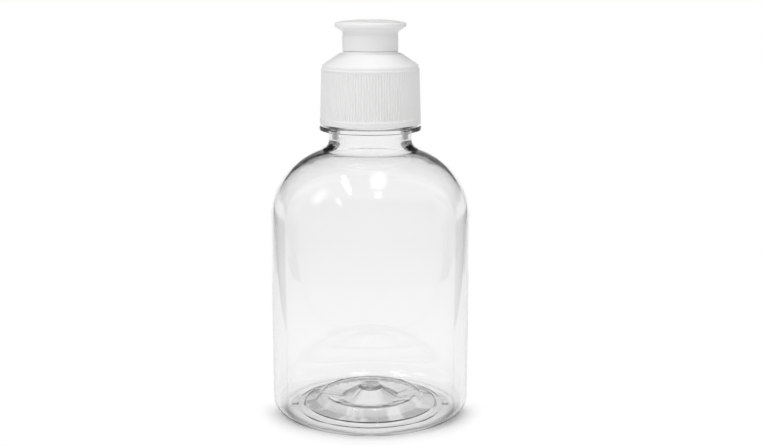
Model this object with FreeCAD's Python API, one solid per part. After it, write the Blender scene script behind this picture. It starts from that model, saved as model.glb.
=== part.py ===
import FreeCAD, Part
import math
import os

from FreeCAD import Vector

# A round-shouldered clear bottle with a 28 mm screw neck and a push-pull dispensing cap.
# The spout slides up the cap's tower to open and is pushed down to close; the whole cap unscrews.
# Millimetres. +Z is the bottle's axis, and the origin is the middle of the foot, on the table.

# Bottle body
BODY_RADIUS = 32.60
SIDE_HEIGHT = 65.10        # where the straight side ends and the shoulder begins
SHOULDER_RISE = 24.13      # height of the shoulder's curve, up to its level crown
CROWN_RADIUS = 6.60        # where that curve would run level, inside the neck
SHOULDER_TURN = 60.0       # degrees that its lower, tighter arc turns through
BODY_WALL = 0.50
SHOULDER_WALL = 1.00       # the wall thickens towards the neck: where the shoulder begins,
CROWN_WALL = 1.80          # and at its crown
TAPER_HEIGHT = 16.0        # over which the straight side's wall thickens

# Foot and push-up base
HEEL_RADIUS = 4.60
HEEL_BEVEL = 3.20          # inside of the heel, which is thicker than the walls
FOOT_WIDTH = 0.90          # flat ring that the bottle stands on
APRON_WIDTH = 5.05         # gentle cone inside the foot ring
APRON_RISE = 0.75
STEP_RUN = 0.35            # crisp step at the apron's inner edge
STEP_RISE = 0.85
TREAD_WIDTH = 3.90
TREAD_RISE = 0.55
RIDGE_RUN = 1.30           # steep wall up to the ridge
RIDGE_RISE = 2.70
RIDGE_CHAMFER = 0.45
VALLEY_DROP = 1.90         # from the ridge in to the valley round the centre cone
VALLEY_RADIUS = 9.30
VALLEY_CHAMFER = 1.00
GATE_RADIUS = 3.90         # flat top of the centre cone
GATE_LEVEL = 6.40          # its underside
GATE_PIN_RADIUS = 1.10     # moulding gate left under the middle
GATE_PIN_LENGTH = 1.20
BASE_WALL = 0.60
GATE_WALL = 1.10
LUG_REACH = 1.75           # two small indexing lugs, this far inside the foot ring
LUG_LENGTH = 2.30
LUG_WIDTH = 2.20
LUG_HEIGHT = 0.55
LUG_LIFT = 0.05            # clear of the table

# Neck and its screw finish
FINISH_RADIUS = 12.50      # root of the thread, which the neck, ring and cap follow
FINISH_WALL = 1.60
NECK_STEP = 1.00           # how far the neck under the ring stands outside that radius
NECK_FILLET = 3.20
NECK_REACH = 4.75          # from the shoulder's crown level up to the support ring
BORE_FILLET = 5.40
RING_REACH = 4.00          # the support ring's edge, outside the finish radius
RING_THICKNESS = 1.45
RING_EDGE = 0.35
FINISH_HEIGHT = 16.60      # from the support ring to the sealing lip
LIP_EDGE = 0.35
THREAD_PITCH = 25.4 / 6
THREAD_TURNS = 1.50
THREAD_HEIGHT = 1.15       # radial
THREAD_CREST = 0.90        # axial width of the crest
FLANK_ANGLE = 30.0
THREAD_START = 6.90        # middle of the thread's lower end, above the support ring
THREAD_ROOT = 0.30         # how deep a ridge is rooted in its wall
THREAD_END_DROP = 0.06     # its rounded ends are this much lower than its crest

# Screw cap
CAP_GAP = 0.70             # between the skirt and the support ring
SKIRT_TOP_WALL = 1.77      # outside the cap's inner wall
BAND_WALL = 2.25           # plain band round the skirt's foot
BAND_HEIGHT = 1.70
TOP_BAND_HEIGHT = 0.55     # plain band over the ribs
RIB_COUNT = 110
RIB_DEPTH = 0.26
RIB_SINK = 0.04            # crests lie this much below the bands at either end
RIB_CREST = 0.44           # share of each rib's pitch that is crest; the valleys are sharp
RIB_ROOT = 0.30            # how far the ribs run into the bands and the wall
CAP_BORE_GAP = 0.45        # cap's inner wall to the neck's thread
CAP_CREST_GAP = 0.35       # cap's thread to the neck's wall
THREAD_GAP = 0.32          # between the two threads, square to the flanks
WASHER_THICKNESS = 1.00
WASHER_MARGIN = 0.35       # washer's edge to the cap's inner wall
SEAT_WIDTH = 2.90          # flat seat that presses the washer on the lip
DECK_RISE = 0.75           # from that seat up to the skirt's top edge
SHOULDER_STEP = 0.35       # narrow ledge at the skirt's top edge
SHOULDER_UPSTAND = 1.14
SHOULDER_ROUND = 0.95
CONE_ANGLE = 33.3
CONE_WALL = 1.30
LEDGE_REACH = 0.92         # ledge at the cone's top, outside the spout
COLLAR_REACH = 0.22        # foot of the collar under the spout, outside the spout
COLLAR_SETBACK = 0.26      # its top, inside the spout's face
COLLAR_HEIGHT = 0.58

# Tower and centre post, one moulding with the screw cap
TOWER_RADIUS = 7.30
TOWER_WALL = 1.20
TOWER_BEAD = 0.45          # snap bead round the tower's top
TOWER_BEAD_HEIGHT = 1.00
TOWER_BEAD_RAMP = 0.25
POST_RADIUS = 2.60
POST_TIP_RADIUS = 1.90
POST_TAPER = 1.40
WEB_COUNT = 3              # webs that carry the post across the tower's bore
WEB_WIDTH = 1.30
WEB_HEIGHT = 2.00

# Pull-up spout
SPOUT_TRAVEL = 4.80
STOP_GAP = 0.15            # left between the snap beads at full travel
SPOUT_GAP = 0.25           # over the collar when pushed down
SPOUT_BORE_GAP = 0.30      # round the tower's snap bead
SPOUT_WALL = 0.93
ROOF_GAP = 0.80            # over the tower's top when pushed down
SPOUT_BEAD_GAP = 0.30      # from the spout's own bead to the tower
SPOUT_BEAD_HEIGHT = 0.90
WAIST_HEIGHT = 1.50        # from the finger step up to the flare under the flange
WAIST_STEP = 0.09
FLARE_HEIGHT = 1.62        # from the flare's start up to the flange's edge
FLARE_ROUND = 0.90
FLANGE_REACH = 2.52        # outside the spout's sleeve
FLANGE_THICKNESS = 1.28
FLANGE_ROUND = 0.55
RIM_WIDTH = 1.70           # flat rim round the crowned top
CROWN_FLAT_RADIUS = 2.80
CROWN_RISE = 0.85
CROWN_RISER = 0.30         # upright part of that rise, at the crown's edge
SPOUT_ROOF = 1.25          # from the flange's top down to the roof of the passage
TIP_GAP = 0.08             # running fit of the post's tip in the orifice
TIP_SETBACK = 0.15
SLEEVE_GAP = 0.08          # running fit of the inner sleeve in the tower
SLEEVE_WALL = 0.80
SLEEVE_LIFT = 0.30         # sleeve's foot above the webs

# Levels and radii that follow from those sizes
neck_radius = FINISH_RADIUS + NECK_STEP
bore_radius = FINISH_RADIUS - FINISH_WALL
ring_radius = FINISH_RADIUS + RING_REACH
ring_foot = SIDE_HEIGHT + SHOULDER_RISE + NECK_REACH
ring_top = ring_foot + RING_THICKNESS
lip_level = ring_top + FINISH_HEIGHT

flank = math.tan(math.radians(FLANK_ANGLE))
thread_radius = FINISH_RADIUS + THREAD_HEIGHT
cap_bore = thread_radius + CAP_BORE_GAP
cap_thread_radius = FINISH_RADIUS + CAP_CREST_GAP
thread_drop = (THREAD_CREST + (thread_radius - cap_thread_radius) * flank
               + THREAD_GAP / math.cos(math.radians(FLANK_ANGLE)))

seat_level = lip_level + WASHER_THICKNESS
skirt_foot = ring_top + CAP_GAP
skirt_top = seat_level + DECK_RISE
band_radius = cap_bore + BAND_WALL
skirt_top_radius = cap_bore + SKIRT_TOP_WALL
rib_foot = skirt_foot + BAND_HEIGHT
rib_top = skirt_top - TOP_BAND_HEIGHT
rib_foot_radius = band_radius - RIB_SINK
rib_top_radius = skirt_top_radius - RIB_SINK

tower_bore = TOWER_RADIUS - TOWER_WALL
tower_bead_radius = TOWER_RADIUS + TOWER_BEAD
spout_bore = tower_bead_radius + SPOUT_BORE_GAP
spout_radius = spout_bore + SPOUT_WALL
flange_radius = spout_radius + FLANGE_REACH
crown_radius = flange_radius - RIM_WIDTH
ledge_radius = spout_radius + LEDGE_REACH

cone_slope = math.tan(math.radians(CONE_ANGLE))
upstand_radius = skirt_top_radius - SHOULDER_STEP
cone_foot = skirt_top + SHOULDER_UPSTAND
ledge_level = cone_foot + (upstand_radius - ledge_radius) * cone_slope
collar_level = ledge_level + COLLAR_HEIGHT
roof_level = ledge_level - CONE_WALL
inner_cone_drop = CONE_WALL / math.cos(math.radians(CONE_ANGLE))
web_top = roof_level + WEB_HEIGHT

spout_foot = collar_level + SPOUT_GAP
spout_bead_top = spout_foot + SPOUT_BEAD_HEIGHT
tower_bead_foot = spout_bead_top + SPOUT_TRAVEL + STOP_GAP
tower_top = tower_bead_foot + TOWER_BEAD_HEIGHT
passage_roof = tower_top + ROOF_GAP
flange_top = passage_roof + SPOUT_ROOF
flange_foot = flange_top - FLANGE_THICKNESS
flare_foot = flange_foot - FLARE_HEIGHT
waist_level = flare_foot - WAIST_HEIGHT
spout_top = flange_top + CROWN_RISE


def flat_vector(radius, height):
    """A point of a turned outline, drawn flat: radius along X and height along Y."""
    return Vector(radius, height, 0)


def corner(before, here, after):
    """Start, middle and end of the arc that rounds the corner at here, before to after."""
    point = flat_vector(here[0], here[1])
    back = flat_vector(before[0], before[1]).sub(point).normalize()
    onward = flat_vector(after[0], after[1]).sub(point).normalize()
    half = back.getAngle(onward) / 2
    radius = abs(here[2])
    reach = radius / math.tan(half)
    inward = Vector(back).add(onward).normalize()
    middle = point + inward * (radius / math.sin(half) - radius)
    return point + back * reach, middle, point + onward * reach


def rounded(points):
    """Edges through corners (radius, height, rounding): an arc, a chamfer if negative, sharp if 0."""
    edges = []
    last = flat_vector(points[0][0], points[0][1])
    for before, here, after in zip(points, points[1:], points[2:]):
        if here[2] == 0:
            point = flat_vector(here[0], here[1])
            edges.append(Part.LineSegment(last, point).toShape())
            last = point
            continue
        start, middle, end = corner(before, here, after)
        edges.append(Part.LineSegment(last, start).toShape())
        blend = Part.Arc(start, middle, end) if here[2] > 0 else Part.LineSegment(start, end)
        edges.append(blend.toShape())
        last = end
    edges.append(Part.LineSegment(last, flat_vector(points[-1][0], points[-1][1])).toShape())
    return edges


def turned(edges):
    """The solid that a closed outline sweeps round the axis."""
    face = Part.Face(Part.Wire(edges))
    face.rotate(Vector(0, 0, 0), Vector(1, 0, 0), 90)
    return face.revolve(Vector(0, 0, 0), Vector(0, 0, 1), 360)


def parallel(points, walls):
    """The corners of a line that runs to the left of points, each stretch at its own distance."""
    stretches = []
    for (r0, z0, _), (r1, z1, _), wall in zip(points, points[1:], walls):
        length = math.hypot(r1 - r0, z1 - z0)
        along = ((r1 - r0) / length, (z1 - z0) / length)
        shift = (-along[1] * wall, along[0] * wall)
        stretches.append(((r0 + shift[0], z0 + shift[1]), (r1 + shift[0], z1 + shift[1]), along))
    line = [(*stretches[0][0], 0)]
    for one, two, here, wall in zip(stretches, stretches[1:], points[1:], walls):
        turn = one[2][0] * two[2][1] - one[2][1] * two[2][0]
        gap = (two[0][0] - one[0][0], two[0][1] - one[0][1])
        reach = (gap[0] * two[2][1] - gap[1] * two[2][0]) / turn
        rounding = max(here[2] - math.copysign(wall, turn), 0) if here[2] > 0 else here[2]
        line.append((one[0][0] + one[2][0] * reach, one[0][1] + one[2][1] * reach, rounding))
    line.append((*stretches[-1][1], 0))
    return line


def shoulder(radius, rise, neck_radius, fillet):
    """The shoulder's two arcs and the hollow fillet that carries them into the neck, and where it ends.

    The lower arc leaves the upright side; the upper one carries on from it and would run level at
    the crown. The fillet rolls on the upper arc and touches the neck.
    """
    turn = math.radians(SHOULDER_TURN)
    sine, cosine = math.sin(turn), math.cos(turn)
    span = radius - CROWN_RADIUS
    low_radius = (rise * cosine - span * (1 - sine)) / (sine + cosine - 1)
    high_radius = (rise - low_radius * sine) / (1 - sine)
    low_centre = flat_vector(radius - low_radius, SIDE_HEIGHT)
    high_centre = flat_vector(CROWN_RADIUS, SIDE_HEIGHT + rise - high_radius)
    joint = low_centre + flat_vector(cosine, sine) * low_radius
    half_turn = flat_vector(math.cos(turn / 2), math.sin(turn / 2)) * low_radius
    low_arc = Part.Arc(flat_vector(radius, SIDE_HEIGHT), low_centre + half_turn, joint)

    reach = neck_radius + fillet - CROWN_RADIUS
    centre = high_centre + flat_vector(reach, math.sqrt((high_radius + fillet) ** 2 - reach ** 2))
    touch = high_centre + (centre - high_centre).normalize() * high_radius
    between = (joint + touch - high_centre * 2).normalize()
    high_arc = Part.Arc(joint, high_centre + between * high_radius, touch)

    end = flat_vector(neck_radius, centre.y)
    between = (touch + end - centre * 2).normalize()
    hollow = Part.Arc(touch, centre + between * fillet, end)
    return [low_arc.toShape(), high_arc.toShape(), hollow.toShape()], centre.y


def ridge(start_level, wall_radius, crest_radius):
    """A thread ridge with rounded ends, rooted in a wall; its crest faces in or out."""
    outward = math.copysign(1, crest_radius - wall_radius)
    root = wall_radius - outward * THREAD_ROOT
    half_crest = THREAD_CREST / 2
    half_root = half_crest + abs(crest_radius - root) * flank
    section = Part.makePolygon([
        Vector(root, 0, start_level - half_root),
        Vector(crest_radius, 0, start_level - half_crest),
        Vector(crest_radius, 0, start_level + half_crest),
        Vector(root, 0, start_level + half_root),
        Vector(root, 0, start_level - half_root),
    ])
    rise = THREAD_PITCH * THREAD_TURNS
    spine = Part.makeHelix(THREAD_PITCH, rise, root)
    spine.translate(Vector(0, 0, start_level))
    solid = Part.Wire(spine.Edges).makePipeShell([section], True, True)
    for level, angle in ((start_level, 0), (start_level + rise, 360 * THREAD_TURNS)):
        button = Part.makeCone(half_root, half_crest, abs(crest_radius - root) - THREAD_END_DROP,
                               Vector(root, 0, level), Vector(outward, 0, 0))
        button.rotate(Vector(0, 0, 0), Vector(0, 0, 1), angle)
        solid = solid.fuse(button)
    return solid


def base_line():
    """The underside's outline from the axis out to the foot and up the side, without the gate pin."""
    foot = BODY_RADIUS - HEEL_RADIUS - FOOT_WIDTH
    step = foot - APRON_WIDTH
    tread = step - STEP_RUN - TREAD_WIDTH
    tread_level = APRON_RISE + STEP_RISE + TREAD_RISE
    ridge_level = tread_level + RIDGE_RISE
    valley_level = ridge_level - VALLEY_DROP
    return [
        (0, GATE_LEVEL, 0),
        (GATE_RADIUS, GATE_LEVEL, 0),
        (VALLEY_RADIUS, valley_level, -VALLEY_CHAMFER),
        (tread - RIDGE_RUN, ridge_level, -RIDGE_CHAMFER),
        (tread, tread_level, 0),
        (step - STEP_RUN, APRON_RISE + STEP_RISE, 0),
        (step, APRON_RISE, 0),
        (foot, 0, 0),
        (BODY_RADIUS, 0, HEEL_RADIUS),
        (BODY_RADIUS, SIDE_HEIGHT, 0),
    ]


def make_bottle():
    """The blown bottle, one piece: a thin body, a push-up base and the moulded neck finish."""
    under = base_line()
    foot_inner_radius = under[-3][0]
    pin_foot = GATE_LEVEL - GATE_PIN_LENGTH
    gate = [(0, pin_foot, 0), (GATE_PIN_RADIUS, pin_foot, -0.25), (GATE_PIN_RADIUS, GATE_LEVEL, 0)]
    inside = parallel(under, [GATE_WALL] + [BASE_WALL] * (len(under) - 3) + [BODY_WALL])
    outer, outer_end = shoulder(BODY_RADIUS, SHOULDER_RISE, neck_radius, NECK_FILLET)
    inner_radius = BODY_RADIUS - SHOULDER_WALL
    inside[-2] = (*inside[-2][:2], -HEEL_BEVEL)
    inside[-1] = (*inside[-1][:1], SIDE_HEIGHT - TAPER_HEIGHT, 0)
    inside.append((inner_radius, SIDE_HEIGHT, 0))
    inner, inner_end = shoulder(inner_radius, SHOULDER_RISE - CROWN_WALL, bore_radius, BORE_FILLET)
    neck = [
        (neck_radius, outer_end, 0),
        (neck_radius, ring_foot, 0),
        (ring_radius, ring_foot, -RING_EDGE),
        (ring_radius, ring_top, -RING_EDGE),
        (FINISH_RADIUS, ring_top, -0.4),
        (FINISH_RADIUS, lip_level, -LIP_EDGE),
        (bore_radius, lip_level, -0.3),
        (bore_radius, inner_end, 0),
    ]
    axis = [(0, inside[0][1], 0), (0, pin_foot, 0)]
    edges = rounded(gate + under[1:]) + outer + rounded(neck)
    edges += inner[::-1] + rounded(inside[::-1]) + rounded(axis)
    bottle = turned(edges)
    for side in (-1, 1):
        middle = side * (foot_inner_radius - LUG_REACH)
        lug_corner = Vector(middle - LUG_WIDTH / 2, -LUG_LENGTH / 2, LUG_LIFT)
        bottle = bottle.fuse(Part.makeBox(LUG_WIDTH, LUG_LENGTH, LUG_HEIGHT, lug_corner))
    return bottle.fuse(ridge(ring_top + THREAD_START, FINISH_RADIUS, thread_radius))


def make_washer():
    """Soft sealing washer, pressed between the bottle's lip and the cap's seat."""
    edge = cap_bore - WASHER_MARGIN
    return turned(rounded([
        (bore_radius, lip_level, 0),
        (edge, lip_level, 0),
        (edge, seat_level, 0),
        (bore_radius, seat_level, 0),
        (bore_radius, lip_level, 0),
    ]))


def inner_cone(radius):
    """Level of the cap's inner cone at a radius."""
    return ledge_level - cone_slope * (radius - ledge_radius) - inner_cone_drop


def make_ribs():
    """A sleeve of upright grip ribs, rooted in the skirt's wall and in the bands over and under it."""
    draft = (rib_foot_radius - rib_top_radius) / (rib_top - rib_foot)
    pitch = 2 * math.pi / RIB_COUNT
    wires = []
    for level in (rib_foot - RIB_ROOT, rib_top + RIB_ROOT):
        crest = rib_foot_radius - draft * (level - rib_foot)
        valley = crest - RIB_DEPTH
        points = []
        for rib in range(RIB_COUNT):
            for share, radius in ((-RIB_CREST, crest), (RIB_CREST, crest), (1, valley)):
                angle = pitch * (rib + share / 2)
                points.append(Vector(radius * math.cos(angle), radius * math.sin(angle), level))
        wires.append(Part.makePolygon(points + [points[0]]))
    sleeve = Part.makeLoft(wires, True, True)
    core = Part.makeCylinder(rib_top_radius - RIB_DEPTH - 2 * RIB_ROOT, rib_top + 2 * RIB_ROOT)
    return sleeve.cut(core)


def make_webs():
    """Webs that hold the post in the tower's bore and leave the passage open between them."""
    web = Part.makeBox(tower_bore + THREAD_ROOT, WEB_WIDTH, WEB_HEIGHT, Vector(0, -WEB_WIDTH / 2, roof_level))
    webs = []
    for turn in range(WEB_COUNT):
        copy = web.copy()
        copy.rotate(Vector(0, 0, 0), Vector(0, 0, 1), 360 * turn / WEB_COUNT)
        webs.append(copy)
    return webs


def make_post():
    """The centre post, whose tip stops the spout's orifice when the spout is pushed down."""
    taper_top = passage_roof - 0.4
    return turned(rounded([
        (0, roof_level, 0),
        (POST_RADIUS, roof_level, 0),
        (POST_RADIUS, taper_top - POST_TAPER, 0),
        (POST_TIP_RADIUS, taper_top, 0),
        (POST_TIP_RADIUS, spout_top - TIP_SETBACK, -0.2),
        (0, spout_top - TIP_SETBACK, 0),
        (0, roof_level, 0),
    ]))


def make_screw_cap():
    """The screw cap with its ribbed skirt, cone, tower and centre post, moulded as one piece."""
    rib_wall = RIB_DEPTH + RIB_ROOT
    seat_edge = cap_bore - SEAT_WIDTH
    roof_edge = ledge_radius + (CONE_WALL - inner_cone_drop) / cone_slope
    shell = turned(rounded([
        (cap_bore + 0.4, skirt_foot, 0),
        (band_radius, skirt_foot, -0.2),
        (band_radius, rib_foot, -RIB_SINK / 2),
        (rib_foot_radius - rib_wall, rib_foot, 0),
        (rib_top_radius - rib_wall, rib_top, 0),
        (skirt_top_radius, rib_top, 0),
        (skirt_top_radius, skirt_top, -0.12),
        (upstand_radius, skirt_top, 0),
        (upstand_radius, cone_foot, SHOULDER_ROUND),
        (ledge_radius, ledge_level, 0),
        (spout_radius + COLLAR_REACH, ledge_level, 0),
        (spout_radius - COLLAR_SETBACK, collar_level, 0),
        (TOWER_RADIUS, collar_level, 0),
        (TOWER_RADIUS, tower_bead_foot, 0),
        (tower_bead_radius, tower_bead_foot + TOWER_BEAD_RAMP, 0),
        (tower_bead_radius, tower_top - 2 * TOWER_BEAD_RAMP, 0),
        (TOWER_RADIUS - 0.1, tower_top, 0),
        (tower_bore, tower_top, -0.2),
        (tower_bore, roof_level, 0),
        (roof_edge, roof_level, 0),
        (seat_edge, inner_cone(seat_edge), 0),
        (seat_edge, seat_level, 0),
        (cap_bore, seat_level, 0),
        (cap_bore, skirt_foot + 0.4, 0),
        (cap_bore + 0.4, skirt_foot, 0),
    ]))
    cap = shell.fuse([make_ribs(), make_post()] + make_webs())
    return cap.fuse(ridge(ring_top + THREAD_START - thread_drop, cap_bore, cap_thread_radius))


def make_spout():
    """The pull-up spout: finger flange, crowned top with the orifice, snap bead and inner sleeve."""
    orifice = POST_TIP_RADIUS + TIP_GAP
    sleeve = tower_bore - SLEEVE_GAP
    sleeve_foot = web_top + SLEEVE_LIFT
    bead = TOWER_RADIUS + SPOUT_BEAD_GAP
    waist = spout_radius - WAIST_STEP
    outside = rounded([
        (bead, spout_foot, 0),
        (spout_radius, spout_foot, -0.2),
        (spout_radius, waist_level, 0),
        (waist, waist_level + 0.15, 0),
        (waist, flare_foot, FLARE_ROUND),
        (flange_radius, flange_foot, -0.15),
        (flange_radius, flange_top, FLANGE_ROUND),
        (crown_radius, flange_top, 0),
        (crown_radius, flange_top + CROWN_RISER, 0),
    ])
    edge = flat_vector(crown_radius, flange_top + CROWN_RISER)
    run = crown_radius - CROWN_FLAT_RADIUS
    drop = CROWN_RISE - CROWN_RISER
    dome = (run ** 2 + drop ** 2) / (2 * drop)
    bulge = flat_vector(CROWN_FLAT_RADIUS + run / 2, spout_top - dome + math.sqrt(dome ** 2 - run ** 2 / 4))
    crown = Part.Arc(edge, bulge, flat_vector(CROWN_FLAT_RADIUS, spout_top))
    inside = rounded([
        (CROWN_FLAT_RADIUS, spout_top, 0),
        (orifice, spout_top, -0.1),
        (orifice, passage_roof, 0),
        (sleeve - SLEEVE_WALL, passage_roof, 0),
        (sleeve - SLEEVE_WALL, sleeve_foot, 0),
        (sleeve, sleeve_foot, -0.15),
        (sleeve, passage_roof, 0),
        (spout_bore, passage_roof, 0),
        (spout_bore, spout_bead_top + TOWER_BEAD_RAMP, 0),
        (bead, spout_bead_top, 0),
        (bead, spout_foot, 0),
    ])
    return turned(outside + [crown.toShape()] + inside)


def main():
    os.makedirs("parts", exist_ok=True)
    pieces = {
        "bottle": make_bottle(),
        "sealing_washer": make_washer(),
        "screw_cap": make_screw_cap(),
        "pull_spout": make_spout(),
    }
    for name, shape in pieces.items():
        shape = shape.removeSplitter()
        print(name, shape.ShapeType, len(shape.Solids), shape.isValid(), round(shape.Volume, 1))
        shape.exportStep(f"parts/{name}.step")


main()
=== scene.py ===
import math

import bpy
import numpy as np
from bpy.props import FloatProperty, FloatVectorProperty, IntProperty, PointerProperty
from bpy.types import Operator, Panel, PropertyGroup
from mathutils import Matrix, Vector


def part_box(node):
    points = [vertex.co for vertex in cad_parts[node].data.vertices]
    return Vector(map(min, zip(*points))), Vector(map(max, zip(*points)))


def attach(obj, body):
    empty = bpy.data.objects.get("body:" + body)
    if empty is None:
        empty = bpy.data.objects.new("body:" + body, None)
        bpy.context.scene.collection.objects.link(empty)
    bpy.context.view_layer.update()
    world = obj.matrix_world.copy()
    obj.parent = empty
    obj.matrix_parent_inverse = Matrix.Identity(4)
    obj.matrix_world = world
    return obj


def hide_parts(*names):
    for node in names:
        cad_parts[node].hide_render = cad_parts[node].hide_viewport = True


bl_info = {
    "name": "Push-Pull Bottle",
    "version": (1, 0, 0),
    "blender": (4, 5, 0),
    "location": "3D View > Sidebar > Bottle",
    "description": "Clear blown bottle with a ribbed screw cap and a pull-up spout",
    "category": "Object",
}

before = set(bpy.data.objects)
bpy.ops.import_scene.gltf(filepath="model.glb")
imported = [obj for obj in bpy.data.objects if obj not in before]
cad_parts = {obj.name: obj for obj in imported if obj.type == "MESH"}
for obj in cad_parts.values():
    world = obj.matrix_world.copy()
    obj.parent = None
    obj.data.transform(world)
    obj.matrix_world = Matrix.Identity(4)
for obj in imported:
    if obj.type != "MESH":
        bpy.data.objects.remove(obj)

MM = 0.001
BOTTLE_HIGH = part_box("bottle")[1]
CAP_LOW, CAP_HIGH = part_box("screw_cap")
SPOUT_LOW, SPOUT_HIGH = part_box("pull_spout")
WASHER_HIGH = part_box("sealing_washer")[1]

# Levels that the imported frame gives
LIP_LEVEL = BOTTLE_HIGH.z
SEAT_LEVEL = WASHER_HIGH.z
SKIRT_FOOT = CAP_LOW.z
POST_TOP = CAP_HIGH.z
SPOUT_FOOT = SPOUT_LOW.z
SPOUT_TOP = SPOUT_HIGH.z

# Edge roundings that recur, from the sharpest to the fullest
HAIR = 0.03 * MM
CRISP = 0.05 * MM
FINE = 0.08 * MM
SHARP = 0.10 * MM
LIGHT = 0.12 * MM
EASED = 0.15 * MM
SOFT = 0.20 * MM
FIRM = 0.22 * MM
FULL = 0.25 * MM
BROAD = 0.30 * MM
DEEP = 0.35 * MM

# Underside of the bottle
FOOT_WIDTH = 0.90 * MM
FOOT_ROUND = 1.50 * MM
APRON_WIDTH = 5.05 * MM
APRON_RISE = 0.75 * MM
STEP_RUN = 0.35 * MM
STEP_RISE = 0.85 * MM
TREAD_WIDTH = 3.90 * MM
TREAD_RISE = 0.55 * MM
RIDGE_RUN = 1.30 * MM
RIDGE_RISE = 2.70 * MM
RIDGE_ROUND = 1.80 * MM
RIDGE_FOOT_ROUND = 0.90 * MM
VALLEY_DROP = 1.90 * MM
VALLEY_RADIUS = 9.30 * MM
VALLEY_ROUND = 2.20 * MM
GATE_LEVEL = 6.40 * MM
GATE_ROUND = 0.60 * MM
GATE_PIN_RADIUS = 1.10 * MM
GATE_PIN_LENGTH = 1.20 * MM
GATE_WALL = 1.10 * MM
BASE_WALL = 0.60 * MM
LUG_REACH = 1.75 * MM
LUG_SIZE = (2.20 * MM, 2.30 * MM, 0.55 * MM)
LUG_LIFT = 0.05 * MM

# Shoulder, neck and screw finish
CROWN_RADIUS = 6.60 * MM
SHOULDER_TURN = math.radians(60)
SHOULDER_WALL = 1.00 * MM     # where the shoulder begins
CROWN_WALL = 1.80 * MM
TAPER_HEIGHT = 16.0 * MM      # the wall thickens over this much of the side
TAPER_ROUND = 30.0 * MM
NECK_FILLET = 3.20 * MM
BORE_FILLET = 5.40 * MM
RING_HOLLOW = 0.50 * MM
FINISH_RADIUS = 12.50 * MM
FINISH_PLAIN = 0.80 * MM      # no thread this near the ring and the lip
THREAD_PITCH = 25.4 * MM / 6
THREAD_TURNS = 1.50
THREAD_HEIGHT = 1.15 * MM
THREAD_CREST = 0.90 * MM
THREAD_FLANK = math.tan(math.radians(30))
THREAD_START = 6.90 * MM
THREAD_DROP = 1.725 * MM      # the cap's thread runs this far under the neck's
CAP_GAP = 0.70 * MM

# Screw cap
BAND_HEIGHT = 1.70 * MM
BAND_SLOPE = (0.02 * MM, 0.12 * MM)     # inward and up, from the foot band to the grip
TOP_BAND_HEIGHT = 0.55 * MM
TOP_BAND_SLOPE = 0.06 * MM
GRIP_INSET = 0.03 * MM
GRIP_START = 0.20 * MM
GRIP_END = 0.10 * MM
GRIP_ROWS = (0, 0.008, 0.016, 0.024, 0.10, 0.5, 0.90, 0.976, 0.984, 0.992, 1)
RIB_SINK = 0.04 * MM
RIB_CREST = 0.44              # crest's share of a rib's pitch, and the valley floor's
RIB_VALLEY = 0.06
RIB_FADE = 0.28 * MM
CAP_BORE = 14.10 * MM
CAP_THREAD_HEIGHT = 1.25 * MM
MOUTH_PLAIN = 0.80 * MM       # no thread this near the skirt's foot
MOUTH_CHAMFER = 0.40 * MM
SEAT_PLAIN = 1.20 * MM        # nor this near the washer's seat
SEAT_WIDTH = 2.90 * MM
DECK_RISE = 0.75 * MM
SHOULDER_STEP = 0.35 * MM
SHOULDER_UPSTAND = 1.14 * MM
SHOULDER_ROUND = 0.95 * MM
CONE_ANGLE = math.radians(33.3)
CONE_SLOPE = math.tan(CONE_ANGLE)
CONE_TOP_RADIUS = 10.15 * MM
CONE_WALL = 1.30 * MM
CONE_DROP = CONE_WALL / math.cos(CONE_ANGLE)
CONE_HOLLOW = 0.40 * MM
COLLAR_FOOT_RADIUS = 9.20 * MM
COLLAR_TOP_RADIUS = 8.72 * MM
COLLAR_GAP = 0.07 * MM

# Tower and centre post
TOWER_RADIUS = 7.30 * MM
TOWER_BORE = 6.10 * MM
TOWER_BEAD = 0.45 * MM
TOWER_BEAD_LIFT = 4.95 * MM   # leaves the spout's bead its travel
TOWER_BEAD_HEIGHT = 1.00 * MM
TOWER_BEAD_FOOT = 0.25 * MM
TOWER_BEAD_TOP = 0.50 * MM
TOWER_TIP_INSET = 0.10 * MM
POST_RADIUS = 2.60 * MM
POST_TIP_RADIUS = 1.90 * MM
POST_TAPER = 1.40 * MM
POST_TAPER_ROUND = 0.50 * MM
POST_SHOULDER_GAP = 0.40 * MM
WEB_COUNT = 3
WEB_SIZE = (6.30 * MM, 1.30 * MM, 2.00 * MM)
WEB_OVERLAP = 0.30 * MM

# Pull-up spout
SPOUT_BEAD_RADIUS = 7.60 * MM
SPOUT_BEAD_HEIGHT = 0.90 * MM
SPOUT_BEAD_SLOPE = 0.25 * MM
SPOUT_BORE = 8.05 * MM
WAIST_LEVEL = 4.50 * MM
WAIST_STEP = 0.12 * MM
WAIST_SLOPE = 0.26 * MM
WAIST_ROUND = 0.06 * MM
FLARE_LEVEL = 6.00 * MM
FLARE_ROUND = 1.35 * MM
FLANGE_LEVEL = 7.62 * MM
FLANGE_THICKNESS = 1.28 * MM
FLANGE_ROUND = 0.55 * MM
CROWN_RISE = 0.85 * MM
CROWN_DOME = 0.7              # dome's share of the crown's rise
CROWN_START = 0.10 * MM       # straight run from the crown's edge into the dome
CROWN_EDGE_RADIUS = 9.80 * MM
CROWN_FLAT_RADIUS = 2.80 * MM
ORIFICE_GAP = 0.08 * MM       # round the post's tip
ORIFICE_RADIUS = POST_TIP_RADIUS + ORIFICE_GAP
SLEEVE_GAP = 0.08 * MM        # running fit of the inner sleeve in the tower
SLEEVE_RADIUS = TOWER_BORE - SLEEVE_GAP
SLEEVE_WALL = 0.80 * MM
SLEEVE_BORE = SLEEVE_RADIUS - SLEEVE_WALL
SLEEVE_RISE = 0.16835 * MM    # its foot over the outer sleeve's
SPOUT_ROOF = 1.25 * MM

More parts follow.
